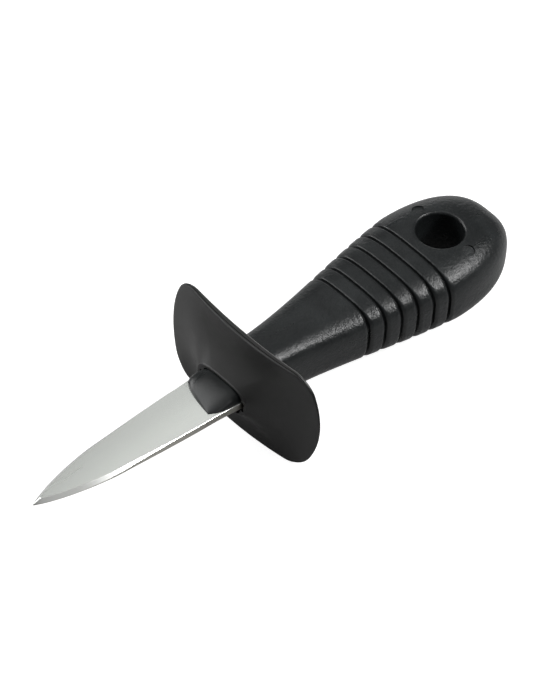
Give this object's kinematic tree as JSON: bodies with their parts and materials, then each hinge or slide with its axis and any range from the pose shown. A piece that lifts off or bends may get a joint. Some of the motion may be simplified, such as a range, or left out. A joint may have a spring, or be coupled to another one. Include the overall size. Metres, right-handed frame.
{
  "type": "oyster knife",
  "caption": "Shellfish opening knife with a short pointed blade, a wide curved finger guard and a moulded grip with ring grooves and a hanging hole.",
  "frame": {"origin": "middle of the hanging hole, in the plane of the blade", "axes": "+X along the knife from the tip towards the end of the handle, +Y across the flat of the blade, +Z square to the blade's flat along the hanging hole, out of the upper face"},
  "size_m": [0.1597, 0.0558, 0.0318],
  "materials": {
    "blade": "satin ground flats, brighter bevels",
    "handle": "satin moulded, fine grain",
    "guard": "dull moulded, fine grain"
  },
  "bodies": {
    "root": {"blade": "blade", "handle": "handle", "guard": "guard"}
  },
  "joints": []
}
